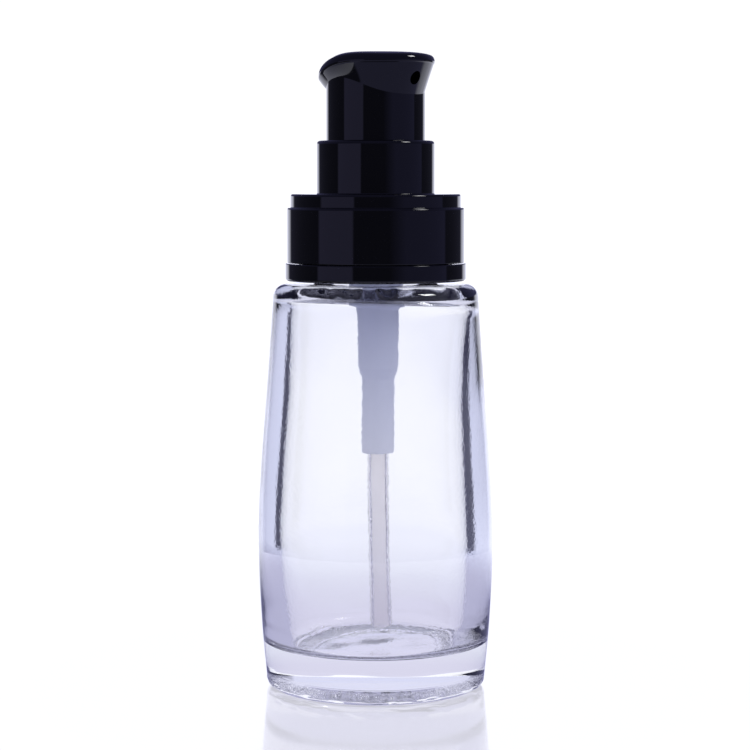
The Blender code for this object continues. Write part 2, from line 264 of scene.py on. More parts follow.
def ring_of(bm, sides, point_at):
    """A ring of vertices from a function of the angle that gives a radius and a height."""
    ring = []
    for side in range(sides):
        angle = 2.0 * math.pi * side / sides
        radius, height = point_at(angle)
        ring.append(bm.verts.new((radius * math.cos(angle), radius * math.sin(angle), height)))
    return ring


def turned(name, outline, sides=SIDES, shape=None, drift=None):
    """Turn an outline about Z.  It is a loop, or runs from the axis to the axis.

    shape(index, radius, height, angle) may change a point's radius and height, and
    drift(height) may move a whole ring sideways.
    """
    bm = bmesh.new()
    rings = []
    for index, (radius, height) in enumerate(outline):
        if radius == 0.0:
            rings.append([bm.verts.new((0.0, 0.0, height))])
            continue

        def point_at(angle, index=index, radius=radius, height=height):
            return shape(index, radius, height, angle) if shape else (radius, height)

        ring = ring_of(bm, sides, point_at)
        if drift:
            bmesh.ops.translate(bm, vec=drift(height), verts=ring)
        rings.append(ring)
    skin_rings(bm, rings, closed=outline[0][0] != 0.0)
    return place(name, bm)


def cut(target, tool, operation='DIFFERENCE', sharp_angle=40.0):
    """Apply a Boolean and remove its operand."""
    step = target.modifiers.new("cut", 'BOOLEAN')
    step.operation = operation
    step.solver = 'EXACT'
    step.object = tool
    graph = bpy.context.evaluated_depsgraph_get()
    graph.update()
    mesh = bpy.data.meshes.new_from_object(target.evaluated_get(graph))
    target.modifiers.clear()
    target.data = mesh
    mesh.shade_smooth()
    mesh.set_sharp_from_angle(angle=math.radians(sharp_angle))
    bpy.data.objects.remove(tool, do_unlink=True)


def bar_along_x(start_x, end_x, height, radius, sides=64):
    """A round bar along X, used as a Boolean operand."""
    bm = bmesh.new()
    turn = (Matrix.Translation(((start_x + end_x) / 2.0, 0.0, height))
            @ Matrix.Rotation(math.pi / 2.0, 4, 'Y'))
    bmesh.ops.create_cone(bm, cap_ends=True, segments=sides, radius1=radius, radius2=radius,
                          depth=end_x - start_x, matrix=turn)
    return place("bar", bm)


def block(low, high):
    """A box between two corners, used as a Boolean operand."""
    bm = bmesh.new()
    bmesh.ops.create_cube(bm, size=1.0)
    bmesh.ops.scale(bm, vec=Vector(high) - Vector(low), verts=bm.verts)
    bmesh.ops.translate(bm, vec=(Vector(high) + Vector(low)) / 2.0, verts=bm.verts)
    return place("block", bm)


def keep(piece, node, body, material):
    """Let a smooth piece stand for a CAD node, on the same body."""
    piece.data.materials.clear()
    piece.data.materials.append(material)
    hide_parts(node)
    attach(piece, body)
    return piece


# ---------------------------------------------------------------- shader helpers
def new_material(name):
    material = bpy.data.materials.new(name)
    material.use_nodes = True
    tree = material.node_tree
    return material, tree, tree.nodes["Principled BSDF"]


def node(tree, kind, settings=None, **inputs):
    """Add a node, set its properties and link or set its inputs."""
    made = tree.nodes.new(kind)
    for key, value in (settings or {}).items():
        setattr(made, key, value)
    for key, value in inputs.items():
        socket = made.inputs[int(key[1:])] if key[0] == "i" and key[1:].isdigit() else made.inputs[key]
        if isinstance(value, bpy.types.NodeSocket):
            tree.links.new(value, socket)
        else:
            socket.default_value = value
    return made


def maths(tree, operation, first, second=0.0):
    return node(tree, "ShaderNodeMath", {"operation": operation}, i0=first, i1=second).outputs[0]


def spread(tree, value, from_low, from_high, to_low, to_high):
    """Map a value from one range to another, held at its ends."""
    made = tree.nodes.new("ShaderNodeMapRange")
    tree.links.new(value, made.inputs["Value"])
    limits = (("From Min", from_low), ("From Max", from_high), ("To Min", to_low), ("To Max", to_high))
    for key, number in limits:
        made.inputs[key].default_value = number
    return made.outputs["Result"]


def place_of(tree):
    """Position on the object in its own frame, in metres."""
    return node(tree, "ShaderNodeTexCoord").outputs["Object"]


def grain(tree, scale, detail=2.0, roughness=0.5, stretch=(1.0, 1.0, 1.0)):
    """Noise over the object, scale in features per metre."""
    mapping = tree.nodes.new("ShaderNodeMapping")
    mapping.inputs["Scale"].default_value = stretch
    tree.links.new(place_of(tree), mapping.inputs["Vector"])
    made = node(tree, "ShaderNodeTexNoise", Scale=scale, Detail=detail, Roughness=roughness)
    tree.links.new(mapping.outputs["Vector"], made.inputs["Vector"])
    return made.outputs["Fac"]


def bump(tree, height, strength, distance, normal=None):
    made = node(tree, "ShaderNodeBump", Strength=strength, Distance=distance, Height=height)
    if normal:
        tree.links.new(normal, made.inputs["Normal"])
    return made.outputs["Normal"]


# ---------------------------------------------------------------- materials
def clear_glass():
    """Flint glass: faint ripples from the mould, fine ones inside, and a stippled underside."""
    material, tree, shader = new_material("clear_glass")
    shader.inputs["Base Color"].default_value = (0.985, 0.985, 1.0, 1.0)
    shader.inputs["Transmission Weight"].default_value = 1.0
    shader.inputs["IOR"].default_value = 1.5
    shader.inputs["Roughness"].default_value = 0.0
    spot = node(tree, "ShaderNodeSeparateXYZ", i0=place_of(tree))
    across = node(tree, "ShaderNodeCombineXYZ", i0=spot.outputs["X"], i1=spot.outputs["Y"])
    away = node(tree, "ShaderNodeVectorMath", {"operation": 'LENGTH'}, i0=across.outputs[0]).outputs["Value"]
    inner = spread(tree, away, 0.0147, 0.0150, 1.0, 0.0)      # the inside of the wall
    under = maths(tree, 'MULTIPLY', spread(tree, spot.outputs["Z"], 0.0016, 0.0018, 1.0, 0.0),
                  spread(tree, away, 0.0092, 0.0100, 0.0, 1.0))
    under = maths(tree, 'MULTIPLY', under, spread(tree, away, 0.0143, 0.0145, 1.0, 0.0))
    ripple = bump(tree, grain(tree, 160.0, 2.0, stretch=(1.0, 1.0, 0.35)), 0.02, 0.001)
    fine = maths(tree, 'MULTIPLY', grain(tree, 2200.0, 2.0), inner)
    fine_ripple = bump(tree, fine, 1.0, 0.00001, ripple)
    turn = maths(tree, 'MULTIPLY', maths(tree, 'ARCTAN2', spot.outputs["Y"], spot.outputs["X"]), 0.0135)
    unrolled = node(tree, "ShaderNodeCombineXYZ", i0=turn, i1=maths(tree, 'MULTIPLY', away, 0.3))
    knurl = node(tree, "ShaderNodeTexNoise", Scale=1500.0, Detail=3.0, Roughness=0.6)
    tree.links.new(unrolled.outputs[0], knurl.inputs["Vector"])
    stippled = bump(tree, maths(tree, 'MULTIPLY', knurl.outputs["Fac"], under), 1.0, 0.0014, fine_ripple)
    tree.links.new(stippled, shader.inputs["Normal"])
    return material


def black_plastic(name="black_plastic"):
    """Gloss black moulding: mirror-like, with the slight swell of a moulded skin."""
    material, tree, shader = new_material(name)
    shader.inputs["IOR"].default_value = 1.46
    shade = grain(tree, 300.0, 3.0)
    colour = node(tree, "ShaderNodeMix", {"data_type": 'RGBA'})
    tree.links.new(shade, colour.inputs["Factor"])
    colour.inputs[6].default_value = (0.0004, 0.0004, 0.0007, 1.0)
    colour.inputs[7].default_value = (0.0007, 0.0007, 0.0011, 1.0)
    tree.links.new(colour.outputs[2], shader.inputs["Base Color"])
    rough = spread(tree, grain(tree, 900.0, 4.0), 0.35, 0.75, 0.02, 0.06)
    tree.links.new(rough, shader.inputs["Roughness"])
    swell = bump(tree, grain(tree, 120.0, 1.0), 0.01, 0.001)
    tree.links.new(swell, shader.inputs["Normal"])
    return material


def white_plastic():
    """Natural polypropylene: milky, with faint flow marks, and darker towards the collar: painted shade from
    the collar above and from the parts inside.
    """
    material, tree, shader = new_material("white_plastic")
    flow = grain(tree, 260.0, 3.0, stretch=(1.0, 1.0, 0.25))
    height = node(tree, "ShaderNodeSeparateXYZ", i0=place_of(tree)).outputs["Z"]
    # painted shade: the plastic darkens with height towards the collar, for the collar's shadow and the
    # parts inside
    painted_collar_shade = spread(tree, height, 0.036, 0.054, 0.0, 1.0)
    mixed = maths(tree, 'ADD', maths(tree, 'MULTIPLY', flow, 0.25), maths(tree, 'MULTIPLY', painted_collar_shade, 0.8))
    colour = node(tree, "ShaderNodeMix", {"data_type": 'RGBA'})
    tree.links.new(mixed, colour.inputs["Factor"])
    # The second colour is both the flow marks' tone and the painted shade below the collar.
    colour.inputs[6].default_value = (0.80, 0.82, 0.94, 1.0)
    colour.inputs[7].default_value = (0.47, 0.50, 0.71, 1.0)
    tree.links.new(colour.outputs[2], shader.inputs["Base Color"])
    rough = spread(tree, grain(tree, 1500.0, 3.0), 0.3, 0.7, 0.28, 0.42)
    tree.links.new(rough, shader.inputs["Roughness"])
    tree.links.new(bump(tree, flow, 0.05, 0.0005), shader.inputs["Normal"])
    return material


def soft_seal():
    """Soft white polyethylene, with a fine matt grain."""
    material, tree, shader = new_material("soft_seal")
    fine = grain(tree, 2200.0, 4.0)
    colour = node(tree, "ShaderNodeMix", {"data_type": 'RGBA'})
    tree.links.new(fine, colour.inputs["Factor"])
    colour.inputs[6].default_value = (0.72, 0.72, 0.69, 1.0)
    colour.inputs[7].default_value = (0.80, 0.80, 0.77, 1.0)
    tree.links.new(colour.outputs[2], shader.inputs["Base Color"])
    shader.inputs["Roughness"].default_value = 0.5
    tree.links.new(bump(tree, fine, 0.15, 0.0002), shader.inputs["Normal"])
    return material


def clear_tube():
    """Extruded polyethylene tube: cloudy, with draw lines along its length."""
    material, tree, shader = new_material("clear_tube")
    shader.inputs["Base Color"].default_value = (0.96, 0.945, 0.965, 1.0)
    shader.inputs["Transmission Weight"].default_value = 0.88
    shader.inputs["IOR"].default_value = 1.2
    lines = grain(tree, 2500.0, 2.0, stretch=(1.0, 1.0, 0.02))
    tree.links.new(spread(tree, lines, 0.3, 0.7, 0.12, 0.25), shader.inputs["Roughness"])
    tree.links.new(bump(tree, lines, 0.1, 0.0002), shader.inputs["Normal"])
    return material


def spring_steel():
    """Drawn stainless wire and a polished ball."""
    material, tree, shader = new_material("spring_steel")
    shader.inputs["Base Color"].default_value = (0.62, 0.62, 0.64, 1.0)
    shader.inputs["Metallic"].default_value = 1.0
    drawn = grain(tree, 4000.0, 3.0)
    tree.links.new(spread(tree, drawn, 0.3, 0.7, 0.16, 0.34), shader.inputs["Roughness"])
    tree.links.new(bump(tree, drawn, 0.1, 0.0001), shader.inputs["Normal"])
    return material


# ---------------------------------------------------------------- the bottle
def thread_height(height, turns, start_turn, end_turn, start_z, root_width, crest_width):
    """Share of the full thread depth at a height and angle, with run-outs at both ends."""
    best = 0.0
    run_out = 1.0 / 6.0
    for whole in range(-1, 3):
        turn = turns + whole
        if not start_turn <= turn <= end_turn:
            continue
        off = abs(height - start_z - THREAD_PITCH * turn)
        flank = (root_width / 2.0 - off) / ((root_width - crest_width) / 2.0)
        ends = min(turn - start_turn, end_turn - turn) / run_out
        best = max(best, min(1.0, max(0.0, flank)) * min(1.0, ends))
    return best


def wall_thickness(height):
    """Glass at the front of the wall: even at first, and thinner towards the shoulder."""
    rise = max(0.0, (height - EVEN_TO_Z) / (WALL_TOP_Z - EVEN_TO_Z))
    return WALL - WALL_THINNING * rise**2


def off_round(height, side):
    """How far the blown inside is off round: pushed to one side at the top, and oval."""
    lean = 0.6 * ((height - 28.0) / 29.0)**2
    oval = 0.6 * ((height - 30.0) / 26.0)**2 - 0.25
    return WEDGE * side + (lean - WEDGE) * side**3 + oval * side**2


def glass_outline():
    """Outline from the push-up, round the outside and the neck, to the middle of the floor."""
    outside = smooth_curve([(16.15, 1.5), (16.88, 10.0), (BOTTLE_WIDEST, 22.5), (16.83, 34.0),
                            (15.87, 46.0), (BOTTLE_TOP, SHOULDER_Z - SHOULDER_CURVE)], 12)
    levels = [WALL_TOP_Z - WALL_STEP * step for step in range(WALL_STEPS)]
    wall = [(value_at(outside[::-1], level) - wall_thickness(level), level) for level in levels]
    inside = smooth_curve(wall + [(13.7, 15.0), (13.1, 10.5), (12.6, 7.8)], 6)
    under = [(0.0, PUSH_UP), (9.0, PUSH_UP - 0.1), (9.5, PUSH_UP - 0.2), (12.8, 0.2), (13.5, 0.02),
             (13.9, 0.0), (14.5, 0.0)]
    under = divided(under, 0.4)
    body = under + arc(14.65, 1.5, 1.5, -90, 0, 12)[1:-1] + outside[:-1]
    body += arc(BOTTLE_TOP - SHOULDER_CURVE, SHOULDER_Z - SHOULDER_CURVE, SHOULDER_CURVE, 0, 90, 16)
    body += arc(NECK_R + 0.6, SHOULDER_Z + 0.6, 0.6, -90, -180, 6)
    neck = [(NECK_R, SHOULDER_Z + 0.7), (NECK_R, NECK_TOP_Z - 0.5)]
    body += divided(neck, 0.1)
    body += arc(NECK_R - 0.4, NECK_TOP_Z - 0.4, 0.4, 0, 90, 6)
    body += arc(NECK_BORE_R + 0.4, NECK_TOP_Z - 0.4, 0.4, 90, 180, 6)
    bore_end = len(body)
    body += divided([(NECK_BORE_R, NECK_TOP_Z - 0.6), (NECK_BORE_R, SHOULDER_Z + 0.2)], 1.0)
    body += arc(NECK_BORE_R + 1.2, SHOULDER_Z - 0.2, 1.2, 180, 270, 8)
    body += divided([(7.8, CEILING_Z), (11.25, CEILING_Z)], 0.2)
    body += arc(11.25, CEILING_Z - 1.5, 1.5, 90, 0, 10)[1:-1]
    body += inside
    foot_r = inside[-1][0]
    body += arc(foot_r - 1.6, FLOOR_Z + 1.6, 1.6, -8, -90, 12)[1:]
    floor_start = len(body)
    body += divided([(10.8, FLOOR_Z), (3.2, FLOOR_Z)], 0.4)
    body += [(2.6, FLOOR_Z + 0.03), (2.0, FLOOR_Z + 0.08), (1.2, FLOOR_Z + 0.12), (0.0, FLOOR_Z + 0.13)]
    return body, bore_end, floor_start


def make_bottle(material):
    """The glass: a round outline with its thread, and the unevenness of moulded glass."""
    outline, bore_end, floor_start = glass_outline()
    cavity_start = bore_end + 10

    def shape(index, radius, height, angle):
        spot = Vector((radius * math.cos(angle), radius * math.sin(angle), height))
        if index < bore_end and height > SHOULDER_Z + 0.7 and radius >= NECK_R - 0.001:
            depth = thread_height(height, angle / (2.0 * math.pi), 0.0, 1.25, THREAD_START_Z, 1.9, 1.0)
            return radius + (THREAD_R - NECK_R) * depth, height
        if index < bore_end and height < PUSH_UP + 0.01 and radius < PUSH_UP_R:
            swell = 0.03 * noise.noise(spot * 0.35) * min(1.0, (PUSH_UP_R - radius) / 2.0)
            ring = min(1.0, max(0.0, radius - 9.5)) * min(1.0, PUSH_UP_R - radius)
            return radius, max(0.0, height + swell + 0.1 * ring * noise.noise(spot * 0.8))
        if index < bore_end and height < HEEL_Z and radius > HEEL_R:
            uneven = noise.noise(Vector((spot.x * 0.5, spot.y * 0.5, height * 2.0)))
            return radius + 0.2 * uneven * math.sin(math.pi * height / HEEL_Z), height
        if index >= floor_start:
            return radius, height + 0.05 * noise.noise(spot * 0.3) * min(1.0, radius / 3.0)
        if index > cavity_start and height > CEILING_EDGE_Z:
            swirl = noise.noise(Vector((spot.x * 0.3, spot.y * 0.3, 3.0)))
            rings = math.sin(2.0 * math.pi * (radius + 1.5 * swirl))
            return radius, height + 0.22 * swirl + 0.045 * rings
        if index > cavity_start:
            below_ceiling = min(1.0, max(0.0, (UNEVEN_TOP_Z - height) / 2.2))
            share = below_ceiling * min(1.0, max(0.0, (height - FLOOR_Z) / 4.0))
            ripple = Vector((math.cos(angle) * 2.0, math.sin(angle) * 2.0, height * 0.08))
            wave = 0.02 * noise.noise(ripple) + 0.01 * noise.noise(ripple * 2.7)
            side = math.cos(angle - THICK_SIDE)
            return radius + share * (off_round(height, side) + wave), height
        return radius, height

    keep(turned("bottle_glass", outline, SIDES, shape), "glass_bottle", "bottle", material)


# ---------------------------------------------------------------- closure, shell and seal
def make_closure(material):
    top = CLOSURE_HIGH.z
    outline = arc(FLANGE_R - 0.4, FLANGE_Z + 0.4, 0.4, -90, 0, 6)
    outline += arc(FLANGE_R - 0.12, 62.55 - 0.12, 0.12, 0, 90, 4)
    outline += [(11.25, 62.55), (11.2, 62.6)]
    outline += arc(11.0, top - 0.2, 0.2, 0, 90, 4)
    outline += [(5.25, top), (5.2, top - 0.05), (5.2, top - 0.45), (5.25, top - 0.5)]
    outline += arc(SKIRT_INNER_R - 0.2, top - 0.7, 0.2, 90, 0, 4)
    outline += divided([(SKIRT_INNER_R, top - 0.75), (SKIRT_INNER_R, FLANGE_Z + 0.3)], 0.12)
    outline += [(SKIRT_INNER_R + 0.2, FLANGE_Z)]

    def shape(index, radius, height, angle):
        if abs(radius - SKIRT_INNER_R) < 0.001:
            depth = thread_height(height, angle / (2.0 * math.pi), -0.25, 0.75,
                                  THREAD_START_Z + THREAD_PITCH / 2.0, 1.5, 0.7)
            return radius + (CLOSURE_THREAD_R - SKIRT_INNER_R) * depth, height
        return radius, height

    piece = turned("closure_ring", held(outline), SIDES, shape)
    keep(piece, "threaded_closure", "closure", material)


def make_shell(material):
    inner = 11.35
    ceiling = SHELL_TOP_Z - 1.05
    outline = [(inner, SHELL_Z)]
    outline += arc(SHELL_R - 0.12, SHELL_Z + 0.12, 0.12, -90, 0, 4)
    outline += arc(SHELL_R - 0.28, SHELL_STEP_Z - 0.28, 0.28, 0, 90, 6)
    outline += arc(SHELL_STEP_R + 0.1, SHELL_STEP_Z + 0.1, 0.1, -90, -180, 3)
    outline += arc(SHELL_STEP_R - 0.35, SHELL_TOP_Z - 0.35, 0.35, 0, 90, 8)
    outline += arc(SLEEVE_R + 0.12, SHELL_TOP_Z + 0.12, 0.12, -90, -180, 4)
    outline += arc(SLEEVE_R - 0.5, SLEEVE_TOP_Z - 0.5, 0.5, 0, 90, 10)
    outline += arc(SLEEVE_BORE_R + 0.15, SLEEVE_TOP_Z - 0.15, 0.15, 90, 180, 4)
    outline += [(SLEEVE_BORE_R, ceiling + 0.05), (SLEEVE_BORE_R + 0.05, ceiling)]
    outline += [(inner - 0.05, ceiling), (inner, ceiling - 0.05)]
    keep(turned("collar_overshell", held(outline)), "collar_shell", "closure", material)


def make_gasket(material):
    low, high = [Vector(corner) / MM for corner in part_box("neck_gasket")]
    outline = [(6.45, low.z), (high.x, low.z), (high.x, high.z), (6.45, high.z)]
    keep(turned("gasket_ring", rounded(outline, 0.1), PUMP_SIDES), "neck_gasket", "pump_body", material)


# ---------------------------------------------------------------- the pump
def make_housing(material):
    bore = 3.3
    outside = [(1.63, HOUSING_LOW.z), (2.41, HOUSING_LOW.z), (2.41, 45.3), (2.97, 46.9),
               (3.05, 55.6), (4.08, 57.0), (4.12, 66.4), (5.85, 68.2), (5.85, 70.1), (8.3, 70.1),
               (8.3, HOUSING_HIGH.z)]
    inside = [(4.9, HOUSING_HIGH.z), (4.9, 68.3), (bore, 68.3), (bore, 57.7), (2.3, 56.7),
              (2.3, 49.5), (1.05, 49.5), (1.05, 49.1), (1.6, 48.75), (1.6, 47.5), (0.9, 46.6),
              (0.9, 45.4), (1.63, 45.4)]
    piece = turned("housing_body", rounded(outside + inside, 0.18), PUMP_SIDES)
    keep(piece, "pump_housing", "pump_body", material)


def make_guide(material):
    outline = [(3.35, 68.4), (4.85, 68.4), (4.85, 71.4), (3.0, 71.4), (3.0, 73.2), (1.9, 73.2),
               (1.9, 70.0), (3.35, 70.0)]
    keep(turned("guide_plug", rounded(outline, 0.15), PUMP_SIDES), "stem_guide", "pump_body", material)


def make_rod(material):
    foot = ROD_LOW.z
    outline = [(0.9, foot), (1.75, foot), (1.75, 68.2), (2.3, 68.2), (2.3, 69.9), (1.75, 69.9),
               (1.75, ROD_HIGH.z), (0.9, ROD_HIGH.z)]
    rod = turned("rod_stem", rounded(outline, 0.08), PUMP_SIDES)
    cut(rod, block((-3, -0.3, foot - 1), (3, 0.3, foot + 0.7)))
    cut(rod, block((-0.3, -3, foot - 1), (0.3, 3, foot + 0.7)))
    keep(rod, "piston_rod", "plunger", material)


def make_valve_pin(material):
    outline = [(0.0, 57.0), (1.3, 57.0), (1.3, 63.2), (2.6, 63.2), (2.6, 64.2), (2.3, 64.5), (0.0, 64.5)]
    pin = turned("pin_plug", rounded(outline, 0.12), PUMP_SIDES)
    cut(pin, block((-0.25, -0.8, 64.0), (0.25, 0.8, 67.5)), 'UNION')
    keep(pin, "valve_pin", "plunger", material)


def make_piston(material):
    outline = [(1.87, 64.62), (2.25, 64.62), (2.4, 66.0), (2.85, 66.0), (3.05, 65.0), (3.24, 65.0),
               (3.12, 66.6), (3.24, 68.2), (3.05, 68.2), (2.85, 67.2), (2.4, 67.2), (2.25, 67.45),
               (1.87, 67.45)]
    keep(turned("piston_lips", rounded(outline, 0.05), PUMP_SIDES), "piston_seal", "piston", material)


def make_spring(material):
    """A helix whose first and last turns lie close."""
    wire = 0.25
    turns = 9
    steps_per_turn = 48
    wire_sides = 14
    low = SPRING_LOW.z + wire
    high = SPRING_HIGH.z - wire
    centre_r = SPRING_HIGH.y - wire
    end_pitch = 2.1 * wire
    pitch = (high - low - 2.0 * end_pitch) / (turns - 2)
    bm = bmesh.new()
    rings = []
    for step in range(turns * steps_per_turn + 1):
        turn = step / steps_per_turn
        first = min(turn, 1.0)
        middle = min(max(turn - 1.0, 0.0), turns - 2.0)
        final = max(turn - turns + 1.0, 0.0)
        angle = 2.0 * math.pi * turn
        across = Vector((math.cos(angle), math.sin(angle), 0.0))
        rise = end_pitch * (first + final) + pitch * middle
        centre = across * centre_r + Vector((0.0, 0.0, low + rise))
        ring = []
        for side in range(wire_sides):
            around_wire = 2.0 * math.pi * side / wire_sides
            offset = across * math.cos(around_wire) + Vector((0.0, 0.0, 1.0)) * math.sin(around_wire)
            ring.append(bm.verts.new(centre + offset * wire))
        rings.append(ring)
    skin_rings(bm, rings, closed=False)
    bm.faces.new(rings[0])
    bm.faces.new(list(reversed(rings[-1])))
    spring = keep(place("spring_coil", bm), "return_spring", "pump_body", material)
    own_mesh(spring)


def make_ball(material):
    centre = (BALL_LOW.z + BALL_HIGH.z) / 2.0
    radius = (BALL_HIGH.z - BALL_LOW.z) / 2.0
    outline = [(0.0, centre - radius)] + arc(0.0, centre, radius, -86, 86, 40) + [(0.0, centre + radius)]
    keep(turned("ball_bead", outline, 64), "intake_ball", "ball", material)


def make_tube(material):
    """The dip tube, cut square, drifting a little sideways below its socket."""
    tube_r = 1.58
    bore_r = 1.1
    socket_z = HOUSING_LOW.z
    lean = TUBE_HIGH.x - tube_r

    def drift(height):
        below = max(0.0, socket_z - height) / (socket_z - TUBE_LOW.z)
        return Vector((lean * below**2, lean * below**2, 0.0))

    outline = [(tube_r, TUBE_HIGH.z), (tube_r, TUBE_LOW.z), (bore_r, TUBE_LOW.z), (bore_r, TUBE_HIGH.z)]
    outline = divided(rounded(outline, 0.06, 3), 0.8)
    piece = turned("tube_sleeve", outline, 64, drift=drift)
    keep(piece, "dip_tube", "pump_body", material)


# ---------------------------------------------------------------- the actuator
def lip_height(angle):
    """The lip is a little taller towards the back."""
    return 1.15 - 0.15 * math.cos(angle)


def head_rings(bm):
    """Rings from the skirt's foot, up the flare and round the rim, to the middle of the crown."""
    rings = [ring_of(bm, SIDES, lambda angle: (BUTTON_R - 0.1, BUTTON_SKIRT_Z))]
    rings.append(ring_of(bm, SIDES, lambda angle: (BUTTON_R, BUTTON_SKIRT_Z + 0.1)))
    skirt_steps = 4
    for step in range(1, skirt_steps):
        share = step / skirt_steps

        def skirt(angle, share=share):
            start = around(FLARE_START_Z, angle) - 0.08
            return BUTTON_R, BUTTON_SKIRT_Z + (start - BUTTON_SKIRT_Z) * share

        rings.append(ring_of(bm, SIDES, skirt))
    flare_steps = 20
    for step in range(flare_steps + 1):
        share = step / flare_steps

        def flare(angle, share=share):
            start = around(FLARE_START_Z, angle)
            power = 1.05 - 0.5 * max(0.0, -math.cos(angle))**2
            radius = BUTTON_R + (around(RIM_R, angle) - BUTTON_R) * share**power
            return radius, start + (around(RIM_Z, angle) - start) * share

        rings.append(ring_of(bm, SIDES, flare))
    lip = smooth_curve([(0.0, 0.0), (0.12, 0.14), (0.14, 0.5), (0.0, 0.92), (-0.3, 1.22),
                        (LIP_OUT, LIP_LIFT)], 4)
    for out, lift in lip[1:]:
        rings.append(ring_of(bm, SIDES, lambda angle, out=out, lift=lift: (
            around(RIM_R, angle) + out, around(RIM_Z, angle) + lift * lip_height(angle))))
    crown_steps = 24
    for step in range(1, crown_steps):
        share = 1.0 - step / crown_steps

        def crown(angle, share=share):
            edge = around(RIM_Z, angle) + LIP_LIFT * lip_height(angle)
            radius = (around(RIM_R, angle) + LIP_OUT) * share
            return radius, CROWN_Z + (edge - CROWN_Z) * share**CROWN_POWER

        rings.append(ring_of(bm, SIDES, crown))
    rings.append([bm.verts.new((0.0, 0.0, CROWN_Z))])
    return rings


def make_button(material):
    bm = bmesh.new()
    wall_r = 6.35
    outer = head_rings(bm)
    inner = [[bm.verts.new((0.0, 0.0, 91.5))]]
    for radius, height in ((5.6, 91.5), (wall_r, 90.9), (wall_r, BUTTON_SKIRT_Z)):
        inner.append(ring_of(bm, SIDES, lambda angle, radius=radius, height=height: (radius, height)))
    skin_rings(bm, inner, closed=False)
    skin_rings(bm, outer, closed=False)
    skin_rings(bm, [inner[-1], outer[0]], closed=False)
    button = place("button_head", bm)
    cut(button, bar_along_x(4.0, 12.0, ORIFICE_Z, ORIFICE_R), sharp_angle=14.0)
    keep(button, "actuator_shell", "actuator", material)


def make_core(material):
    """The socket and the duct inside the head."""
    inside = [(0.0, 90.2), (0.9, 90.2), (0.9, 86.1), (1.8, 86.1)]
    outside = [(1.8, 79.0), (2.9, 79.0), (2.9, 83.0), (6.25, 83.0), (6.25, 84.0), (2.9, 84.0),
               (2.9, 91.1), (0.0, 91.1)]
    core = turned("core_socket", inside + outside, PUMP_SIDES)
    cut(core, bar_along_x(1.5, 5.9, ORIFICE_Z, 1.5), 'UNION')
    cut(core, bar_along_x(0.0, 8.0, ORIFICE_Z, ORIFICE_R))
    keep(core, "nozzle_core", "actuator", material)


# ---------------------------------------------------------------- studio
def colour_mix(tree, factor, first, second):
    """Mix two colours, each a socket or a tuple of red, green and blue."""
    made = node(tree, "ShaderNodeMix", {"data_type": 'RGBA'})
    tree.links.new(factor, made.inputs["Factor"])
    for index, value in ((6, first), (7, second)):
        if isinstance(value, bpy.types.NodeSocket):
            tree.links.new(value, made.inputs[index])
        else:
            made.inputs[index].default_value = (*value, 1.0)
    return made.outputs[2]


def by_bearing(tree, bearing, stops):
    """Colour by bearing from straight behind the camera, in degrees to the right."""
    turn = spread(tree, bearing, -math.pi, math.pi, 0.0, 1.0)
    ramp = tree.nodes.new("ShaderNodeValToRGB")
    tree.links.new(turn, ramp.inputs["Fac"])
    elements = ramp.color_ramp.elements
    while len(elements) < len(stops):
        elements.new(1.0)
    for element, (degrees, colour) in zip(elements, stops):
        element.position = (degrees + 180.0) / 360.0
        element.color = (*colour, 1.0)
    return ramp.outputs["Color"]


def path_flags(tree):
    """Whether a ray was mirrored, went through glass, or passed the floor's clear coat."""
    path = tree.nodes.new("ShaderNodeLightPath")
    mirrored = maths(tree, 'GREATER_THAN', path.outputs["Glossy Depth"], 0.5)
    through = maths(tree, 'GREATER_THAN', path.outputs["Transmission Depth"], 0.5)
    coated = maths(tree, 'GREATER_THAN', path.outputs["Transparent Depth"], 0.5)
    return mirrored, through, coated


FLOOR_R = 128.0
WHITE = (1.05, 1.05, 1.05)
BACK = (1.25, 1.27, 1.50)            # bright backdrop as a mirror shows it
LEFT_BOX = (0.30, 0.29, 0.54)
RIGHT_BOX = (0.17, 0.17, 0.36)
GLOOM = (0.06, 0.06, 0.10)
TABLE = (0.28, 0.28, 0.52)
TABLE_SHINE = (0.66, 0.66, 0.77)     # what the table's coat mirrors through the bottle
GLASS_BACK = (0.71, 0.74, 0.96)      # the same room as a thick glass wall folds it
GLASS_GLOOM = (0.05, 0.05, 0.09)
GLASS_SIDE = (0.30, 0.31, 0.40)
GLASS_HIGH_BACK = (0.78, 0.79, 0.95)
THROUGH_HIGH = (1.07, 1.085, 1.14)
THROUGH_LOW = (0.98, 1.0, 1.10)


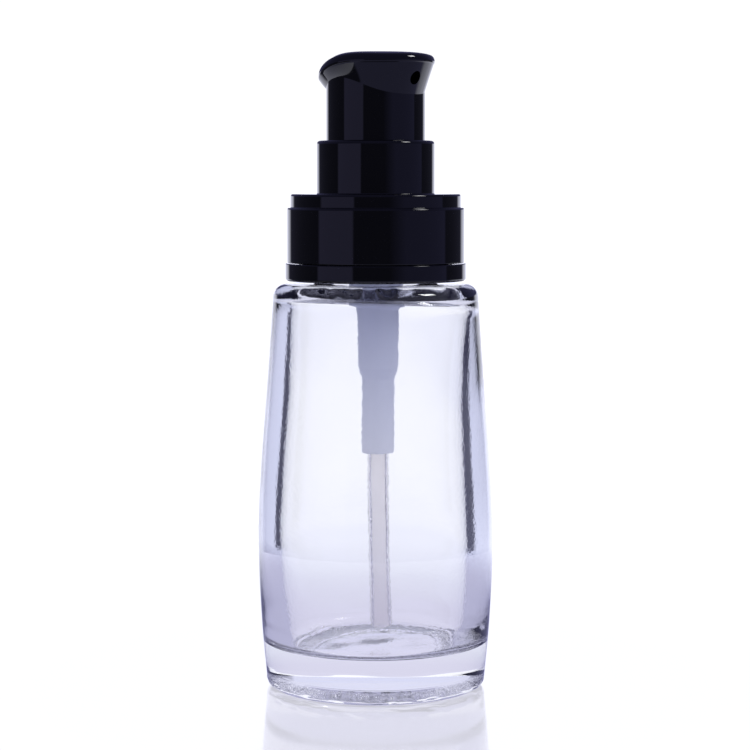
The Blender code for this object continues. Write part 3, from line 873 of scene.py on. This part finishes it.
def make_world():
    """White surround; mirrored in gloss it is a dim room with two tall soft boxes and a white back.

    The colours hang on a ray's direction and on what it met on its way, never on the camera.
    """
    world = bpy.data.worlds.new("studio")
    bpy.context.scene.world = world
    world.use_nodes = True
    tree = world.node_tree
    tree.nodes.clear()
    direction = node(tree, "ShaderNodeTexCoord").outputs["Generated"]

    def along(axis):
        made = node(tree, "ShaderNodeVectorMath", {"operation": 'DOT_PRODUCT'}, i0=direction)
        made.inputs[1].default_value = axis
        return made.outputs["Value"]

    bearing = maths(tree, 'ARCTAN2', along(CAMERA_RIGHT), along(TOWARDS_CAMERA))
    height = along(Vector((0.0, 0.0, 1.0)))
    room = by_bearing(tree, bearing, (
        (-180, BACK), (-150, BACK), (-143, GLOOM), (-80, GLOOM), (-77, LEFT_BOX), (-30, LEFT_BOX),
        (-28, GLOOM), (18, GLOOM), (40, RIGHT_BOX), (100, RIGHT_BOX), (103, GLOOM), (143, GLOOM),
        (150, BACK), (180, BACK)))
    overhead = spread(tree, height, 0.048, 0.075, 0.0, 1.0)
    room = colour_mix(tree, overhead, room, (0.11, 0.11, 0.24))
    table = by_bearing(tree, bearing, (
        (-180, BACK), (-145, BACK), (-138, GLOOM), (-56, GLOOM), (-50, TABLE), (108, TABLE),
        (118, BACK), (180, BACK)))
    beneath = spread(tree, height, -0.20, -0.07, 1.0, 0.0)
    room = colour_mix(tree, beneath, room, table)
    level_back = by_bearing(tree, bearing, (
        (-180, GLASS_BACK), (-133, GLASS_BACK), (-130.5, GLASS_GLOOM), (-120, GLASS_GLOOM),
        (-105, GLASS_SIDE), (105, GLASS_SIDE), (120, GLASS_GLOOM), (142.5, GLASS_GLOOM),
        (144.5, GLASS_BACK), (180, GLASS_BACK)))
    high_back = spread(tree, height, 0.12, 0.25, 0.0, 1.0)
    folded = colour_mix(tree, high_back, level_back, GLASS_HIGH_BACK)
    low = spread(tree, height, -0.155, -0.12, 1.0, 0.0)
    straight = colour_mix(tree, low, THROUGH_HIGH, THROUGH_LOW)
    mirrored, through, coated = path_flags(tree)
    gloss = colour_mix(tree, through, room, folded)
    plain = colour_mix(tree, through, WHITE, straight)
    table_shine = colour_mix(tree, through, BACK, TABLE_SHINE)
    gloss = colour_mix(tree, coated, gloss, table_shine)
    surround = colour_mix(tree, mirrored, plain, gloss)
    background = node(tree, "ShaderNodeBackground", Strength=1.0)
    tree.links.new(surround, background.inputs["Color"])
    output = tree.nodes.new("ShaderNodeOutputWorld")
    tree.links.new(background.outputs[0], output.inputs["Surface"])


def make_floor():
    """A round white table top, glossy near the bottle, with painted shade round the bottle where it is seen
    through the glass.

    It glows in a colour that hangs on what a ray met on its way, as the world's colours do.
    """
    bm = bmesh.new()
    bmesh.ops.create_circle(bm, cap_ends=True, segments=128, radius=FLOOR_R)
    floor = place("studio_floor", bm)
    floor.location.z = -0.05 * MM
    material = bpy.data.materials.new("studio_floor")
    material.use_nodes = True
    tree = material.node_tree
    tree.nodes.clear()
    mirrored, through = path_flags(tree)[:2]
    away = node(tree, "ShaderNodeVectorMath", {"operation": 'LENGTH'}, i0=place_of(tree)).outputs["Value"]
    far = spread(tree, away, 0.04, 0.08, 0.0, 1.0)
    further = spread(tree, away, 0.07, 0.128, 0.0, 1.0)
    # painted shade: seen through the glass, the table glows dimmer near the bottle than far off
    behind = colour_mix(tree, far, (0.74, 0.73, 0.88), (0.83, 0.85, 0.96))
    behind = colour_mix(tree, further, behind, THROUGH_LOW)
    near = spread(tree, away, 0.05, 0.11, 1.0, 0.0)
    table = colour_mix(tree, near, WHITE, (0.55, 0.55, 0.61))
    plain = colour_mix(tree, through, table, behind)
    edge = spread(tree, away, 0.080, 0.115, 0.0, 1.0)
    folded = colour_mix(tree, edge, (0.48, 0.48, 0.66), (0.62, 0.645, 0.86))
    mirrored_table = colour_mix(tree, further, TABLE, BACK)
    gloss = colour_mix(tree, through, mirrored_table, folded)
    seen = colour_mix(tree, mirrored, plain, gloss)
    white = node(tree, "ShaderNodeEmission", Color=seen, Strength=1.0)
    shine = node(tree, "ShaderNodeBsdfGlossy", Roughness=0.075, Color=(1.0, 1.0, 1.0, 1.0))
    direct = maths(tree, 'SUBTRACT', 1.0, maths(tree, 'MAXIMUM', mirrored, through))
    share = maths(tree, 'MULTIPLY', direct, maths(tree, 'MULTIPLY', near, 0.36))
    glow = node(tree, "ShaderNodeMixShader", i0=share, i2=shine.outputs[0])
    base = node(tree, "ShaderNodeAddShader", i0=white.outputs[0], i1=glow.outputs[0])
    output = tree.nodes.new("ShaderNodeOutputMaterial")
    tree.links.new(base.outputs[0], output.inputs["Surface"])
    floor.data.materials.append(material)


def make_coat():
    """A clear disc just above the table, which only marks the rays that the table mirrors."""
    bm = bmesh.new()
    bmesh.ops.create_circle(bm, cap_ends=True, segments=128, radius=FLOOR_R)
    coat = place("studio_coat", bm)
    coat.location.z = -0.03 * MM
    material = bpy.data.materials.new("studio_coat")
    material.use_nodes = True
    tree = material.node_tree
    tree.nodes.clear()
    clear = tree.nodes.new("ShaderNodeBsdfTransparent")
    output = tree.nodes.new("ShaderNodeOutputMaterial")
    tree.links.new(clear.outputs[0], output.inputs["Surface"])
    coat.data.materials.append(material)


def make_light(name, bearing, elevation, distance, size, power):
    """A soft area light aimed at the collar; bearing in degrees to the right of the camera."""
    aim = Vector((0.0, 0.0, 0.07))
    turn = math.radians(bearing)
    rise = math.radians(elevation)
    flat = TOWARDS_CAMERA * math.cos(turn) + CAMERA_RIGHT * math.sin(turn)
    place_at = flat * math.cos(rise) * distance + Vector((0.0, 0.0, math.sin(rise) * distance)) + aim
    data = bpy.data.lights.new(name, 'AREA')
    data.size = size
    data.energy = power
    item = bpy.data.objects.new(name, data)
    item.location = place_at
    item.rotation_euler = (place_at - aim).to_track_quat('Z', 'Y').to_euler()
    bpy.context.scene.collection.objects.link(item)


def make_camera():
    distance = 0.339
    height = 0.0747
    pitch = math.radians(4.83)
    data = bpy.data.cameras.new("camera")
    data.sensor_width = 36.0
    data.lens = 110.8
    data.shift_x = -0.0009
    data.clip_start = 0.01
    camera = bpy.data.objects.new("camera", data)
    camera.location = TOWARDS_CAMERA * distance + Vector((0.0, 0.0, height))
    look = Matrix.Rotation(CAMERA_TURN, 4, 'Z') @ Matrix.Rotation(math.pi / 2.0 - pitch, 4, 'X')
    camera.rotation_euler = look.to_euler()
    bpy.context.scene.collection.objects.link(camera)
    bpy.context.scene.camera = camera


def main():
    bpy.context.scene.view_settings.view_transform = 'Standard'
    make_camera()
    make_world()
    make_floor()
    make_coat()
    make_light("key_right", 74.0, 42.0, 0.6, 0.14, 1.0)
    glass = clear_glass()
    black = black_plastic()
    white = white_plastic()
    seal = soft_seal()
    steel = spring_steel()
    make_bottle(glass)
    make_closure(black)
    make_shell(black)
    make_gasket(seal)
    make_housing(white)
    make_guide(white)
    make_rod(white)
    make_valve_pin(white)
    make_piston(seal)
    make_spring(steel)
    make_ball(steel)
    make_tube(clear_tube())
    make_button(black)
    make_core(black)


main()
